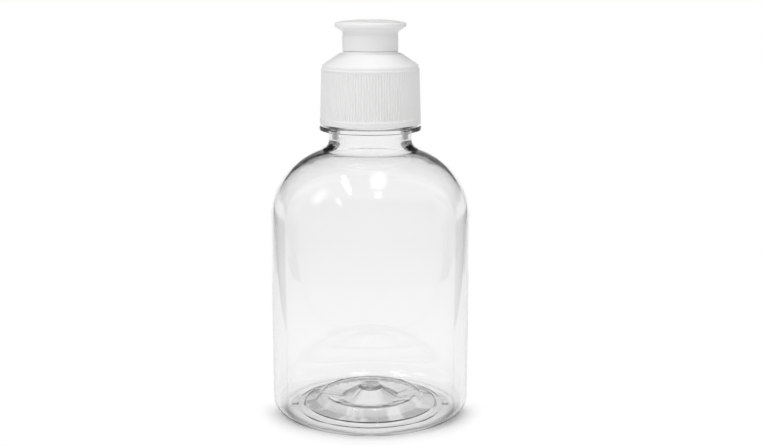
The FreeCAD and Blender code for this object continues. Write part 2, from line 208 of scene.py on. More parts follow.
# How finely the forms are divided
BODY_SEGMENTS = 256
CAP_SEGMENTS = 220
SPOUT_SEGMENTS = 192
POST_SEGMENTS = 96
SAMPLES_PER_RIB = 8
ARC_STEP = math.radians(9)
WIDE_ARC_STEP = math.radians(2.5)
DOME_ARC_STEP = math.radians(1.5)
THREAD_ROW = 0.22 * MM
TINY = 1e-7                   # less than any size here

# The base's flow marks: bump waves, and streaks of painted shade in its colour. Each band's radii are where
# it begins, is full, is last full and ends
RIDGE_SHADE_STREAKS = (15.0 * MM, 19.0 * MM, 21.2 * MM, 22.2 * MM)
CONE_SHADE_STREAKS = (4.0 * MM, 6.0 * MM, 8.5 * MM, 10.0 * MM)
CONE_SHADE_SHARE = 0.6
CONE_SHADE_SIDE = (0.30, 0.75)   # only on the two sides of the centre cone
SHADE_STREAK_CUTS = (0.42, 0.56)    # levels of the flow noise between which the painted shade comes in
SHADE_STREAK_LEAST = 0.06           # painted shade between the streaks
OUTER_WAVES = (12.0 * MM, 17.0 * MM, 26.0 * MM, 31.0 * MM)
WAVE_HEIGHTS = (0.55, 0.35)   # near the gate and further out
STEP_GROOVE = (23.4 * MM, 24.3 * MM, 24.3 * MM, 25.2 * MM)
STEP_GROOVE_HEIGHT = 0.12
BASE_LEVELS = (11.0 * MM, 7.0 * MM)       # height and radius over which the base's marks fade in
BASE_RADII = (30.0 * MM, 27.5 * MM)
BASE_WAVE_DEPTH = 0.85 * MM
BASE_HAZE = 0.05
FLOW_SCALES = (2.4, 2.4, 70.0)    # the noise's two scales round the gate, and outward per metre
GATE_EYE = 0.50 * MM          # nearer the axis than this the flow has no direction

# Stage. A bearing is 1 straight behind the bottle, 0 beside it and -1 straight in front.
AXIS_EYE = 1.0 * MM           # nearer the axis than this a bearing shrinks to 0
BESIDE = (-0.10, 0.30)        # bearings between which the front turns into the side
FLOOR_REACH = 4.0
SHADOW_RADII = (39.0 * MM, 29.0 * MM)     # where the shadow by the foot begins and is full
SHADOW_BEARINGS = (0.15, -0.30)
SHADOW_FRONT = (-0.45, -0.95)             # bearings over which it thins out again, to this share
SHADOW_FRONT_SHARE = 0.45
STANDING_RADII = (28.5 * MM, 25.5 * MM)   # floor that the bottle stands over
SHEET_BLUR = 3.0 * MM                     # softness of the sheet's edge near the bottle
SHEET_BLUR_START = 0.35                   # from here out it grows softer, by this much a metre
SHEET_BLUR_GROWTH = 0.30
SHEET_EDGE_SHARE = 0.70                   # brightness at the sheet's edge
FRONT_EDGE = (-28.0 * MM, -34.0 * MM)     # how far ahead of its sloping line the bright front begins
FRONT_NEAR = (0.32, 0.11)                 # distances over which the front brightens towards the bottle
FRONT_NEAR_LIGHT = 0.85
FLOOR_SIDE_SHARE = 0.8
FAR_FLOOR = (0.45, 1.2)                   # the floor far behind is light again
FAR_BEARINGS = (0.30, 0.45)
FAR_LIGHT = 0.75
BACKDROP_BEARINGS = (0.87, 0.95)
BACKDROP_TOP = (0.16, 0.12)               # heights in the surround run from 0 at eye level to 1 overhead
SKIRTING_TOP = (0.14, 0.04)
SKIRTING_BEARINGS = (0.40, 0.50)
OVERHEAD_LEVELS = (0.80, 0.95)
FRONT_BEARINGS = (0.44, 0.40)
DRAPE_CUTS = (0.42, 0.66)                 # noise levels of the drapes' folds
DRAPE_SHARES = (0.4, 3.2)                 # darkest and lightest fold, as shares of the dark room
BEHIND = (0.10, 0.60)                     # where the room's light turns into the light from behind
LENS = 56.65                              # in millimetres
FRAME_SHIFT = 0.0140                      # as a share of the frame's width
NEAR_CLIP = 0.01

# Lamps: name, place, target or None for straight down, size, radiance and softness
LAMP_TARGET = (0, 0, 0.08)
LAMPS = (
    ("key_panel", (-0.40, -0.50, 0.72), LAMP_TARGET, (0.45, 0.45), 2.3, None),
    ("back_panel", (0, 0.45, 0.75), LAMP_TARGET, (0.30, 0.30), 2.0, None),
    ("fill_panel", (0.45, -0.75, 0.20), LAMP_TARGET, (0.30, 0.30), 1.5, None),
    ("overhead_panel", (0.08, -0.115, 0.75), None, (0.22, 0.44), 4.5, 0.45),
    ("overhead_core", (0.075, -0.09, 0.74), None, (0.044, 0.29), 24.0, 0.45),
    ("front_panel", (0.11, -0.46, 0.75), None, (0.15, 0.14), 4.0, 0.35),
    ("left_strip", (-0.262, -0.165, 0.75), None, (0.065, 0.46), 10.0, 0.25),
    ("low_left_panel", (-0.58, -0.60, 0.75), None, (0.14, 0.34), 2.6, 0.35),
    ("window", (-1.16, -0.29, 0.98), LAMP_TARGET, (0.52, 0.86), 1.4, 0.40),
)


def length(name, default, description):
    """A size that the sidebar shows, in metres."""
    return FloatProperty(name=name, default=default, min=0, precision=5, unit="LENGTH",
                         description=description)


def colour(name, default, description):
    """A colour that the sidebar shows."""
    return FloatVectorProperty(name=name, default=default, size=3, min=0, max=1, subtype="COLOR",
                               description=description)


class BottleSizes(PropertyGroup):
    radius: length("Body radius", BOTTLE_HIGH.x, "Outside of the straight side")
    side_height: length("Side height", 65.10 * MM, "Where the shoulder begins")
    shoulder_rise: length("Shoulder rise", 24.13 * MM, "From the side up to the shoulder's level crown")
    wall: length("Wall", 0.50 * MM, "Thickness of the straight side")
    heel_radius: length("Heel radius", 4.60 * MM, "Rounding between the side and the foot")
    neck_radius: length("Neck radius", 13.50 * MM, "Outside of the neck under the support ring")
    bore_radius: length("Bore radius", 10.90 * MM, "Inside of the neck")
    ring_radius: length("Ring radius", 16.50 * MM, "Outside of the support ring")
    ring_thickness: length("Ring thickness", 1.45 * MM, "Height of the support ring's edge")
    gate_radius: length("Gate radius", 3.90 * MM, "Flat top of the base's centre cone")


class CapSizes(PropertyGroup):
    band_radius: length("Band radius", CAP_HIGH.x, "Plain band round the skirt's foot")
    top_radius: length("Top radius", 15.87 * MM, "Skirt's top edge")
    rib_depth: length("Rib depth", 0.26 * MM, "How deep the grip's valleys are")
    rib_count: IntProperty(name="Ribs", default=110, min=12, max=160, description="Grip ribs round the skirt")


class SpoutSizes(PropertyGroup):
    radius: length("Sleeve radius", 8.98 * MM, "Outside of the spout's sleeve")
    flange_radius: length("Flange radius", SPOUT_HIGH.x, "Edge of the finger flange")
    crown_rise: length("Crown rise", CROWN_RISE, "Height of the crowned top over the flange's rim")


class Finishes(PropertyGroup):
    clear: colour("Clear plastic", (0.974, 0.976, 0.976), "Tint of the bottle's wall")
    clear_shade: colour("Shade through the wall", (0.62, 0.62, 0.62), "Light that lamps send through a wall")
    # Painted shade: the colour that the base's streaks are darkened to, for the dark seen through its
    # thickest, curved plastic
    painted_base_shade: colour("Thick base", (0.60, 0.60, 0.60), "Tint of the base's thickest streaks")
    white: colour("White plastic", (0.90, 0.90, 0.895), "Cap and spout")
    white_deep: colour("White plastic, denser", (0.87, 0.87, 0.865), "Where the moulding's colour varies")
    foam: colour("Washer foam", (0.80, 0.80, 0.78), "Sealing washer")
    speckle: colour("Washer speckle", (0.70, 0.70, 0.68), "Closed cells in the washer's foam")


def brightness(name, default, description):
    """A brightness, where 1 is white."""
    return FloatProperty(name=name, default=default, min=0, max=2, subtype="FACTOR", description=description)


class Studio(PropertyGroup):
    floor: colour("Floor", (0.94, 0.94, 0.94), "Pale floor")
    floor_lift: brightness("Floor lift", 0.85, "How far its own shade is lifted to white under the bottle")
    room: brightness("Room light", 0.63, "Soft light from the front, the sides and overhead")
    room_behind: brightness("Room light behind", 0.15, "Soft light from behind the bottle")
    room_front: brightness("Room in front", 0.35, "What glass and gloss reflect from the front of the room")
    room_side: brightness("Room beside", 0.80, "What they reflect from beside the bottle")
    room_dark: brightness("Room past the sheet", 0.100, "What they reflect between backdrop and front")
    room_top: brightness("Room overhead", 0.30, "What they reflect from overhead")
    sheet_width: length("Sheet half width", 0.112, "From the middle of the white sheet to its edge")
    sheet_flare: FloatProperty(name="Sheet flare", default=0.45, min=0, max=2,
                               description="How much wider the sheet gets, per metre back")
    front_slope: FloatProperty(name="Front's edge", default=0.466, min=0, max=2,
                               description="How far back the bright front reaches, per metre across")
    camera_distance: length("Camera distance", 387.4 * MM, "In front of the bottle's axis")
    camera_height: length("Camera height", 141.0 * MM, "Above the floor")
    camera_pitch: FloatProperty(name="Camera pitch", default=math.radians(11.4), subtype="ANGLE",
                                description="How far the camera looks down")


# ---------------------------------------------------------------- outlines and turned forms


def normal_of(angle):
    """Outward normal of an outline that runs at this angle, with the solid on its left."""
    return math.sin(angle), -math.cos(angle)


def arc(centre, radius, start, end, step=ARC_STEP):
    """Samples (radius, height, normal) along an arc, by the direction it runs in, from start to end.

    A growing angle turns left, round a convex edge; a shrinking one turns right, in a hollow.
    """
    count = max(2, math.ceil(abs(end - start) / step))
    side = 1 if end > start else -1
    samples = []
    for index in range(count + 1):
        across, up = normal_of(start + (end - start) * index / count)
        samples.append((centre[0] + side * across * radius, centre[1] + side * up * radius, across, up))
    return samples


def rounded(corners, row=None):
    """Samples along straight runs between corners (radius, height, rounding), each corner rounded.

    With a row, the runs are divided into rows of that height.
    """
    samples = []
    last = corners[0][:2]
    for before, here, after in zip(corners, corners[1:], corners[2:] + [None]):
        run = math.atan2(here[1] - before[1], here[0] - before[0])
        if after is None:
            target, bend = here[:2], []
        else:
            onward = math.atan2(after[1] - here[1], after[0] - here[0])
            turn = (onward - run + math.pi) % (2 * math.pi) - math.pi
            reach = here[2] * math.tan(abs(turn) / 2)
            target = (here[0] - reach * math.cos(run), here[1] - reach * math.sin(run))
            side = math.copysign(here[2], turn)
            centre = (target[0] - side * math.sin(run), target[1] + side * math.cos(run))
            bend = arc(centre, here[2], run, run + turn)
        across, up = normal_of(run)
        pieces = max(1, round(math.dist(last, target) / row)) if row else 1
        for index in range(pieces):
            share = index / pieces
            point = [one + (two - one) * share for one, two in zip(last, target)]
            samples.append((*point, across, up))
        if after is None:
            samples.append((*target, across, up))
        else:
            samples += bend[:-1]
            last = bend[-1][:2]
    return samples


def parallel(corners, walls):
    """The corners of a line to the left of corners, each stretch at its own distance."""
    stretches = []
    for (r0, z0, _), (r1, z1, _), wall in zip(corners, corners[1:], walls):
        along = Vector((r1 - r0, z1 - z0)).normalized()
        shift = Vector((-along.y, along.x)) * wall
        stretches.append((Vector((r0, z0)) + shift, Vector((r1, z1)) + shift, along))
    line = [(*stretches[0][0], 0)]
    for one, two, here, wall in zip(stretches, stretches[1:], corners[1:], walls):
        turn = one[2].cross(two[2])
        reach = (two[0] - one[0]).cross(two[2]) / turn
        point = one[0] + one[2] * reach
        line.append((*point, max(here[2] - math.copysign(wall, turn), SHARP)))
    line.append((*stretches[-1][1], 0))
    return line


def shoulder(radius, level, rise, neck_radius, fillet):
    """Samples up a shoulder and through the hollow fillet into the neck, and the level where they end.

    The shoulder is two arcs in one smooth line. The first leaves the side upright and bends by the shoulder's
    turn, and the second would run level at the crown's radius.
    """
    sine, cosine = math.sin(SHOULDER_TURN), math.cos(SHOULDER_TURN)
    span = radius - CROWN_RADIUS
    low_radius = (rise * cosine - span * (1 - sine)) / (sine + cosine - 1)
    high_radius = (rise - low_radius * sine) / (1 - sine)
    low_centre = (radius - low_radius, level)
    high_centre = (CROWN_RADIUS, level + rise - high_radius)
    reach = neck_radius + fillet - CROWN_RADIUS
    height = math.sqrt((high_radius + fillet) ** 2 - reach ** 2)
    touch = math.atan2(height, reach)
    upright = math.pi / 2
    samples = arc(low_centre, low_radius, upright, upright + SHOULDER_TURN, WIDE_ARC_STEP)[:-1]
    samples += arc(high_centre, high_radius, upright + SHOULDER_TURN, upright + touch, WIDE_ARC_STEP)[:-1]
    hollow = (high_centre[0] + reach, high_centre[1] + height)
    samples += arc(hollow, fillet, upright + touch, upright, WIDE_ARC_STEP * 2)
    return samples, hollow[1]


def turned_back(samples):
    """The same line run the other way, with its normals turned over."""
    return [(r, z, -across, -up) for r, z, across, up in samples[::-1]]


def made(name, points, faces):
    """A smooth mesh of these points and faces as an object in the scene."""
    mesh = bpy.data.meshes.new(name)
    mesh.from_pydata(points, [], faces)
    mesh.shade_smooth()
    piece = bpy.data.objects.new(name, mesh)
    bpy.context.collection.objects.link(piece)
    return piece


def relief_normals(grid, plain, raised):
    """Normals of a grid of points: the plain form's own, and measured ones where the grid is raised."""
    along = np.gradient(grid, axis=0)
    around = np.roll(grid, -1, axis=1) - np.roll(grid, 1, axis=1)
    measured = np.cross(around, along)
    measured /= np.linalg.norm(measured, axis=2, keepdims=True) + 1e-12
    near = np.abs(raised) > TINY
    near |= np.roll(near, 1, axis=0) | np.roll(near, -1, axis=0)
    near |= np.roll(near, 1, axis=1) | np.roll(near, -1, axis=1)
    return np.where(near[:, :, None], measured, plain)


def turned(name, sections, closed):
    """A solid turned from sections (samples, segments, relief) that follow each other round an outline.

    A relief gives how far each point stands out from the turned form, from its angle and height.
    Neighbouring sections may have different numbers of segments where one is a multiple of the other.
    """
    points, normals, rings = [], [], []
    for samples, segments, relief in sections:
        table = np.array(samples)
        angles = np.arange(segments) * 2 * math.pi / segments
        cosine, sine = np.cos(angles), np.sin(angles)
        radius = np.repeat(table[:, :1], segments, axis=1)
        height = np.repeat(table[:, 1:2], segments, axis=1)
        raised_by = relief(angles[None, :], height) if relief else np.zeros_like(radius)
        radius = radius + raised_by
        grid = np.stack([radius * cosine, radius * sine, height], axis=2)
        across, up = table[:, 2:3], table[:, 3:4]
        facing = np.stack([across * cosine, across * sine, up + 0 * cosine], axis=2)
        if relief:
            facing = relief_normals(grid, facing, raised_by)
        for row, sample in enumerate(samples):
            first = len(points)
            if sample[0] < TINY:
                points.append((0, 0, sample[1]))
                normals.append((0, 0, math.copysign(1, sample[3])))
                rings.append([first])
                continue
            points.extend(map(tuple, grid[row]))
            normals.extend(map(tuple, facing[row]))
            rings.append(list(range(first, first + segments)))
    pairs = list(zip(rings, rings[1:]))
    if closed:
        pairs.append((rings[-1], rings[0]))
    faces = [face for low, high in pairs for face in strip(low, high)]
    piece = made(name, points, faces)
    piece.data.normals_split_custom_set_from_vertices(normals)
    return piece


def block(name, low, high, rounding, segments, angle=0):
    """A rounded block between two corners, turned by an angle about the bottle's axis."""
    plan = ((low[0], low[1]), (high[0], low[1]), (high[0], high[1]), (low[0], high[1]))
    cosine, sine = math.cos(angle), math.sin(angle)
    points = [(x * cosine - y * sine, x * sine + y * cosine, z) for z in (low[2], high[2]) for x, y in plan]
    faces = [(3, 2, 1, 0), (4, 5, 6, 7), (0, 1, 5, 4), (1, 2, 6, 5), (2, 3, 7, 6), (3, 0, 4, 7)]
    piece = made(name, points, faces)
    soft = piece.modifiers.new("Rounded", "BEVEL")
    soft.width = rounding
    soft.segments = segments
    return piece


def strip(low, high):
    """Faces between two rings; the finer ring's count is a multiple of the coarser one's."""
    if len(low) == 1:
        return [(low[0], high[(i + 1) % len(high)], high[i]) for i in range(len(high))]
    if len(high) == 1:
        return [(low[i], low[(i + 1) % len(low)], high[0]) for i in range(len(low))]
    count = min(len(low), len(high))
    low_share, high_share = len(low) // count, len(high) // count
    faces = []
    for index in range(count):
        under = [low[(index * low_share + k) % len(low)] for k in range(low_share + 1)]
        over = [high[(index * high_share + k) % len(high)] for k in range(high_share + 1)]
        faces.append(tuple(under + over[::-1]))
    return faces


def ease(share):
    """A smooth rise from 0 to 1."""
    share = np.clip(share, 0, 1)
    return share * share * (3 - 2 * share)


def ridge(start, height, sign):
    """Relief of a thread ridge with rounded ends, whose lower end is at the level start."""
    mean_radius = FINISH_RADIUS + THREAD_HEIGHT / 2
    half_crest = THREAD_CREST / 2
    half_root = half_crest + height * THREAD_FLANK
    run = 2 * math.pi * mean_radius * THREAD_TURNS
    rise = THREAD_PITCH * THREAD_TURNS
    span = math.hypot(run, rise)

    def relief(angle, level):
        nearest = np.full(np.broadcast(angle, level).shape, 1.0)
        for turn in range(-1, math.ceil(THREAD_TURNS) + 1):
            along = mean_radius * (angle + 2 * math.pi * turn)
            up = level - start
            share = np.clip((along * run + up * rise) / span ** 2, 0, 1)
            nearest = np.minimum(nearest, np.hypot(along - share * run, up - share * rise))
        return sign * height * ease((half_root - nearest) / (half_root - half_crest))

    return relief


def grip(sizes, foot, top):
    """Relief of the skirt's grip: valleys between the ribs, run out at both ends."""

    def relief(angle, level):
        share = angle * sizes.rib_count / (2 * math.pi) % 1
        crest = np.abs(2 * share - 1)
        valley = 1 - ease((crest - RIB_VALLEY) / (1 - RIB_CREST - RIB_VALLEY))
        inside = ease((level - foot) / RIB_FADE) * ease((top - level) / RIB_FADE)
        return -sizes.rib_depth * valley * inside

    return relief


# ---------------------------------------------------------------- nodes


def add(tree, kind, group=None, **inputs):
    """A node of this kind, or a node group placed, with plain values set on its inputs."""
    node = tree.nodes.new(kind)
    if group:
        node.node_tree = group
    for socket, value in inputs.items():
        node.inputs[socket.replace("_", " ")].default_value = value
    return node


def maths(tree, operation, *values):
    """A maths node on sockets or plain numbers, and its output."""
    node = tree.nodes.new("ShaderNodeMath")
    node.operation = operation
    for socket, value in zip(node.inputs, values):
        if isinstance(value, (int, float)):
            socket.default_value = value
        else:
            tree.links.new(value, socket)
    return node.outputs[0]


def times(tree, first, *others):
    """The product of sockets and plain numbers."""
    for value in others:
        first = maths(tree, "MULTIPLY", first, value)
    return first


def greatest(tree, first, *others):
    """The greatest of sockets and plain numbers."""
    for value in others:
        first = maths(tree, "MAXIMUM", first, value)
    return first


def between(tree, value, start, end):
    """A smooth mask: 0 where the value is at start, 1 where it is at end."""
    node = add(tree, "ShaderNodeMapRange", From_Min=start, From_Max=end)
    node.interpolation_type = "SMOOTHSTEP"
    tree.links.new(value, node.inputs["Value"])
    return node.outputs["Result"]


def band(tree, value, begins, full, last_full, ends):
    """A smooth mask that rises and falls again as the value grows."""
    return times(tree, between(tree, value, begins, full), between(tree, value, ends, last_full))


def raised(tree, low, high, factor):
    """A value that goes from low to high as the factor goes from 0 to 1."""
    rest = times(tree, maths(tree, "SUBTRACT", 1.0, factor), low)
    return maths(tree, "ADD", rest, times(tree, factor, high))


def coordinates(tree, space):
    """The three parts of a place or direction."""
    place = tree.nodes.new("ShaderNodeTexCoord")
    split = tree.nodes.new("ShaderNodeSeparateXYZ")
    tree.links.new(place.outputs[space], split.inputs[0])
    return split.outputs


def radius_of(tree, across, along):
    """Distance from the upright axis."""
    return maths(tree, "SQRT", maths(tree, "ADD", times(tree, across, across), times(tree, along, along)))


def two_tone(tree, first, second, factor):
    """A colour that goes from the first to the second as the factor goes from 0 to 1."""
    node = tree.nodes.new("ShaderNodeMix")
    node.data_type = "RGBA"
    node.inputs["A"].default_value = (*first, 1)
    node.inputs["B"].default_value = (*second, 1)
    tree.links.new(factor, node.inputs["Factor"])
    return node.outputs["Result"]


def bumped(tree, height, strength, distance, under=None):
    """A normal bumped by a height, on top of another bump where there is one."""
    node = add(tree, "ShaderNodeBump", Strength=strength, Distance=distance)
    tree.links.new(height, node.inputs["Height"])
    if under:
        tree.links.new(under, node.inputs["Normal"])
    return node.outputs["Normal"]


def dress(tree, shader, tone, roughness, normal):
    """Links a colour, a roughness and a normal into a shader."""
    for name, value in (("Base Color", tone), ("Roughness", roughness), ("Normal", normal)):
        tree.links.new(value, shader.inputs[name])


def mixed(tree, factor, first, second):
    """A mix of two shaders, and its output."""
    node = tree.nodes.new("ShaderNodeMixShader")
    for socket, value in zip(node.inputs, (factor, first, second)):
        tree.links.new(value, socket)
    return node.outputs[0]


# ---------------------------------------------------------------- finishes


def new_material(name):
    """An empty node material, its tree and its output."""
    material = bpy.data.materials.new(name)
    material.use_nodes = True
    tree = material.node_tree
    tree.nodes.clear()
    output = tree.nodes.new("ShaderNodeOutputMaterial")
    return material, tree, output


def moulding_marks():
    """Node group: the fine grain and cloudy colour of a moulded or blown plastic surface."""
    name = "Moulding marks"
    if name in bpy.data.node_groups:
        return bpy.data.node_groups[name]
    group = bpy.data.node_groups.new(name, "ShaderNodeTree")
    face = group.interface
    for label, default in (("Grain Scale", 2600.0), ("Cloud Scale", 90.0), ("Smooth", 0.30), ("Rough", 0.42)):
        face.new_socket(label, in_out="INPUT", socket_type="NodeSocketFloat").default_value = default
    for label in ("Cloud", "Roughness", "Height"):
        face.new_socket(label, in_out="OUTPUT", socket_type="NodeSocketFloat")
    ends = group.nodes.new("NodeGroupInput"), group.nodes.new("NodeGroupOutput")
    place = group.nodes.new("ShaderNodeTexCoord")
    grain = add(group, "ShaderNodeTexNoise", Detail=3.0, Roughness=0.6)
    cloud = add(group, "ShaderNodeTexNoise", Detail=2.0, Roughness=0.5)
    spread = add(group, "ShaderNodeMapRange", From_Min=0.3, From_Max=0.7)
    for node, scale in ((grain, "Grain Scale"), (cloud, "Cloud Scale")):
        group.links.new(place.outputs["Object"], node.inputs["Vector"])
        group.links.new(ends[0].outputs[scale], node.inputs["Scale"])
    group.links.new(cloud.outputs["Fac"], spread.inputs["Value"])
    group.links.new(ends[0].outputs["Smooth"], spread.inputs["To Min"])
    group.links.new(ends[0].outputs["Rough"], spread.inputs["To Max"])
    group.links.new(cloud.outputs["Fac"], ends[1].inputs["Cloud"])
    group.links.new(spread.outputs["Result"], ends[1].inputs["Roughness"])
    group.links.new(grain.outputs["Fac"], ends[1].inputs["Height"])
    return group


def marked(tree, **values):
    """The moulding marks placed in a material, with that material's own values."""
    return add(tree, "ShaderNodeGroup", group=moulding_marks(), **values)


def base_waves_and_painted_shade(tree):
    """Three masks on the blown base: its streaks of painted shade, the height of its bump waves, and the base
    as a whole.

    The streaks follow a flow noise out from the gate. Their painted shade stands for the dark seen through
    the base's thickest, curved plastic, between the ridge and the step and on the two sides of the centre
    cone.
    """
    across, along, up = coordinates(tree, "Object")
    away = radius_of(tree, across, along)
    size = maths(tree, "MAXIMUM", away, GATE_EYE)
    cosine, sine = (maths(tree, "DIVIDE", part, size) for part in (across, along))
    turn = tree.nodes.new("ShaderNodeCombineXYZ")
    for socket, value, scale in zip(turn.inputs, (cosine, sine, away), FLOW_SCALES):
        tree.links.new(times(tree, value, scale), socket)
    noise = add(tree, "ShaderNodeTexNoise", Scale=1.0, Detail=2.0, Roughness=0.5)
    tree.links.new(turn.outputs[0], noise.inputs["Vector"])
    flow = noise.outputs["Fac"]
    low = times(tree, between(tree, up, *BASE_LEVELS), between(tree, away, *BASE_RADII))
    sides = between(tree, maths(tree, "ABSOLUTE", cosine), *CONE_SHADE_SIDE)
    cone = times(tree, band(tree, away, *CONE_SHADE_STREAKS), times(tree, sides, CONE_SHADE_SHARE))
    shaded_band = greatest(tree, band(tree, away, *RIDGE_SHADE_STREAKS), cone)
    # Painted shade: the base's colour darkened in streaks, for the dark seen through its thickest, curved
    # plastic
    painted_shade = times(tree, shaded_band, low, raised(tree, SHADE_STREAK_LEAST, 1.0, between(tree, flow, *SHADE_STREAK_CUTS)))
    heights = times(tree, flow, raised(tree, *WAVE_HEIGHTS, band(tree, away, *OUTER_WAVES)))
    groove = times(tree, band(tree, away, *STEP_GROOVE), STEP_GROOVE_HEIGHT)
    waves = times(tree, maths(tree, "ADD", heights, groove), low)
    return painted_shade, waves, low


def clear_plastic(finishes):
    """Blown clear plastic: a smooth, faintly wavy wall, and a heavier base with flow-mark bumps, streaks of
    painted shade and a haze.
    """
    material, tree, output = new_material("clear_plastic")
    glass = add(tree, "ShaderNodeBsdfPrincipled", Metallic=0.0, Transmission_Weight=1.0, IOR=1.55)
    marks = marked(tree, Grain_Scale=60.0, Cloud_Scale=34.0, Smooth=0.0, Rough=0.02)
    painted_shade, waves, low = base_waves_and_painted_shade(tree)
    # The clear plastic's colour with the painted shade of the base's streaks mixed in
    tone = two_tone(tree, finishes.clear, finishes.painted_base_shade, painted_shade)
    roughness = maths(tree, "ADD", marks.outputs["Roughness"], times(tree, low, BASE_HAZE))
    base = bumped(tree, waves, strength=1.0, distance=BASE_WAVE_DEPTH)
    normal = bumped(tree, marks.outputs["Height"], strength=0.04, distance=0.2 * MM, under=base)
    dress(tree, glass, tone, roughness, normal)
    through = add(tree, "ShaderNodeBsdfTransparent", Color=(*finishes.clear_shade, 1))
    path = tree.nodes.new("ShaderNodeLightPath")
    surface = mixed(tree, path.outputs["Is Shadow Ray"], glass.outputs[0], through.outputs[0])
    tree.links.new(surface, output.inputs["Surface"])
    return material


def moulded_plastic(name, finishes):
    """Moulded white plastic with a fine satin grain and a slightly cloudy colour."""
    material, tree, output = new_material(name)
    body = add(tree, "ShaderNodeBsdfPrincipled", Metallic=0.0, IOR=1.49)
    marks = marked(tree, Grain_Scale=8000.0, Cloud_Scale=120.0, Smooth=0.31, Rough=0.42)
    tone = two_tone(tree, finishes.white, finishes.white_deep, marks.outputs["Cloud"])
    normal = bumped(tree, marks.outputs["Height"], strength=0.03, distance=0.008 * MM)
    dress(tree, body, tone, marks.outputs["Roughness"], normal)
    tree.links.new(body.outputs[0], output.inputs["Surface"])
    return material


def washer_foam(finishes):
    """Washer foam with fine closed cells."""
    material, tree, output = new_material("washer_foam")
    body = add(tree, "ShaderNodeBsdfPrincipled", Metallic=0.0)
    cells = add(tree, "ShaderNodeTexVoronoi", Scale=2600.0).outputs["Distance"]
    marks = marked(tree, Grain_Scale=1800.0, Cloud_Scale=300.0, Smooth=0.60, Rough=0.80)
    tone = two_tone(tree, finishes.speckle, finishes.foam, cells)
    normal = bumped(tree, cells, strength=0.4, distance=0.05 * MM)
    dress(tree, body, tone, marks.outputs["Roughness"], normal)
    tree.links.new(body.outputs[0], output.inputs["Surface"])
    return material


# ---------------------------------------------------------------- pieces


def bottle_sections(sizes):
    """The bottle's outline: under the base and up the side, over the shoulder and lip, and back inside."""
    foot = sizes.radius - sizes.heel_radius - FOOT_WIDTH
    step = foot - APRON_WIDTH
    tread = step - STEP_RUN - TREAD_WIDTH
    tread_level = APRON_RISE + STEP_RISE + TREAD_RISE
    ridge_level = tread_level + RIDGE_RISE
    under = [
        (0, GATE_LEVEL, 0),
        (sizes.gate_radius, GATE_LEVEL, GATE_ROUND),
        (VALLEY_RADIUS, ridge_level - VALLEY_DROP, VALLEY_ROUND),
        (tread - RIDGE_RUN, ridge_level, RIDGE_ROUND),
        (tread, tread_level, RIDGE_FOOT_ROUND),
        (step - STEP_RUN, APRON_RISE + STEP_RISE, FIRM),
        (step, APRON_RISE, FIRM),
        (foot, 0, FOOT_ROUND),
        (sizes.radius, 0, sizes.heel_radius),
        (sizes.radius, sizes.side_height, 0),
    ]
    inside = parallel(under, [GATE_WALL] + [BASE_WALL] * (len(under) - 3) + [sizes.wall])
    inside[1] = (*inside[1][:2], FULL)      # the cone's inner corner, crisper than its outer one
    inner_radius = sizes.radius - SHOULDER_WALL
    inside[-1] = (sizes.radius - sizes.wall, sizes.side_height - TAPER_HEIGHT, TAPER_ROUND)
    inside.append((inner_radius, sizes.side_height, 0))
    pin_foot = GATE_LEVEL - GATE_PIN_LENGTH
    pin = [
        (0, pin_foot, 0),
        (GATE_PIN_RADIUS, pin_foot, FULL),
        (GATE_PIN_RADIUS, GATE_LEVEL, SOFT),
    ]
    outer, outer_end = shoulder(sizes.radius, sizes.side_height, sizes.shoulder_rise,
                                sizes.neck_radius, NECK_FILLET)
    inner, inner_end = shoulder(inner_radius, sizes.side_height,
                                sizes.shoulder_rise - CROWN_WALL, sizes.bore_radius, BORE_FILLET)
    ring_top = SKIRT_FOOT - CAP_GAP
    ring_foot = ring_top - sizes.ring_thickness
    finish_foot = ring_top + FINISH_PLAIN
    neck = [
        (sizes.neck_radius, outer_end, 0),
        (sizes.neck_radius, ring_foot, FULL),
        (sizes.ring_radius, ring_foot, DEEP),
        (sizes.ring_radius, ring_top, DEEP),
        (FINISH_RADIUS, ring_top, RING_HOLLOW),
        (FINISH_RADIUS, finish_foot, 0),
    ]
    finish_top = LIP_LEVEL - FINISH_PLAIN
    lip = [
        (FINISH_RADIUS, finish_top, 0),
        (FINISH_RADIUS, LIP_LEVEL, DEEP),
        (sizes.bore_radius, LIP_LEVEL, BROAD),
        (sizes.bore_radius, inner_end, 0),
    ]
    threaded = rounded([(FINISH_RADIUS, finish_foot, 0), (FINISH_RADIUS, finish_top, 0)], THREAD_ROW)
    thread = ridge(ring_top + THREAD_START, THREAD_HEIGHT, 1)
    base = rounded(pin + under[1:])[:-1] + outer[:-1] + rounded(neck)[:-1]
    back = rounded(lip)[1:-1] + turned_back(inner)[:-1] + turned_back(rounded(inside))
    return [(base, BODY_SEGMENTS, None), (threaded, BODY_SEGMENTS, thread), (back, BODY_SEGMENTS, None)]


def lug(name, sizes, side):
    """One indexing lug under the base."""
    width, span, height = LUG_SIZE
    middle = side * (sizes.radius - sizes.heel_radius - FOOT_WIDTH - LUG_REACH)
    low = (middle - width / 2, -span / 2, LUG_LIFT)
    high = (middle + width / 2, span / 2, LUG_LIFT + height)
    return block(name, low, high, FIRM, segments=3)


def cone_ledge(sizes):
    """Level of the ledge at the top of the cap's cone."""
    upstand = sizes.top_radius - SHOULDER_STEP
    return SEAT_LEVEL + DECK_RISE + SHOULDER_UPSTAND + (upstand - CONE_TOP_RADIUS) * CONE_SLOPE


